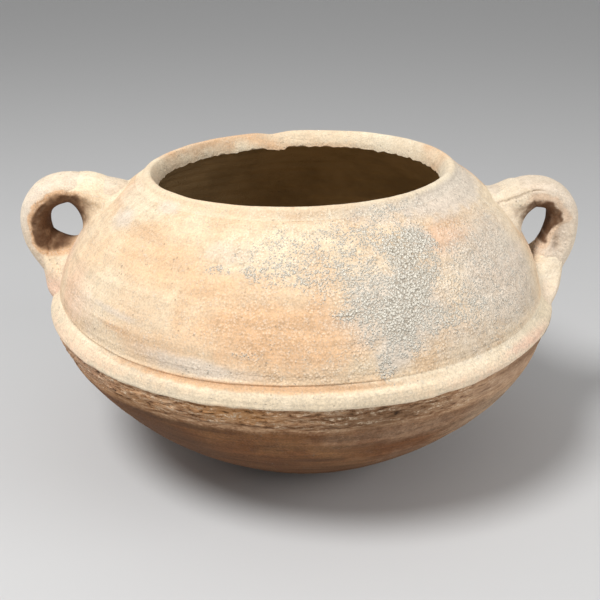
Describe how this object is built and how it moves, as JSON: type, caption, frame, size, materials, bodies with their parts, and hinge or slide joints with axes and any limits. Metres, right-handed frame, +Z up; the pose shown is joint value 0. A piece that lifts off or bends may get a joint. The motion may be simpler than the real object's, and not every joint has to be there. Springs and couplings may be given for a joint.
{
  "type": "two-handled terracotta bowl",
  "caption": "Wide round-bottomed clay bowl with an inward-sloping shoulder, a ridge round its widest line, an open mouth and a loop handle on each side.",
  "frame": {"origin": "centre of the flat disc under the bowl, on the surface that the bowl stands on", "axes": "+Z up along the bowl's axis, +X and -X through the two handles, -Y towards the side that the picture shows"},
  "size_m": [0.3328, 0.2988, 0.1759],
  "materials": {
    "bowl_clay": "smoothed reddish-brown fired clay with fine turning streaks",
    "shoulder_clay": "dry buff-orange fired clay, partly under a rough grey lime crust",
    "inner_clay": "unsmoothed dark brown fired clay",
    "ridge_clay": "worn pale cream fired clay with a rough brown underside",
    "lip_clay": "worn peach-cream fired clay",
    "handle_clay": "pale cream fired clay, scraped rough round the finger hole",
    "luting_clay": "smeared pale buff fired clay"
  },
  "bodies": {
    "root": {"lower_bowl": "bowl_clay", "shoulder_wall": "shoulder_clay", "inner_seam_coil": "inner_clay", "carination_band": "ridge_clay", "rim_lip": "lip_clay", "handle_right": "handle_clay", "handle_right_upper_luting": "luting_clay", "handle_right_lower_luting": "luting_clay", "handle_left": "handle_clay", "handle_left_upper_luting": "luting_clay", "handle_left_lower_luting": "luting_clay"}
  },
  "joints": []
}
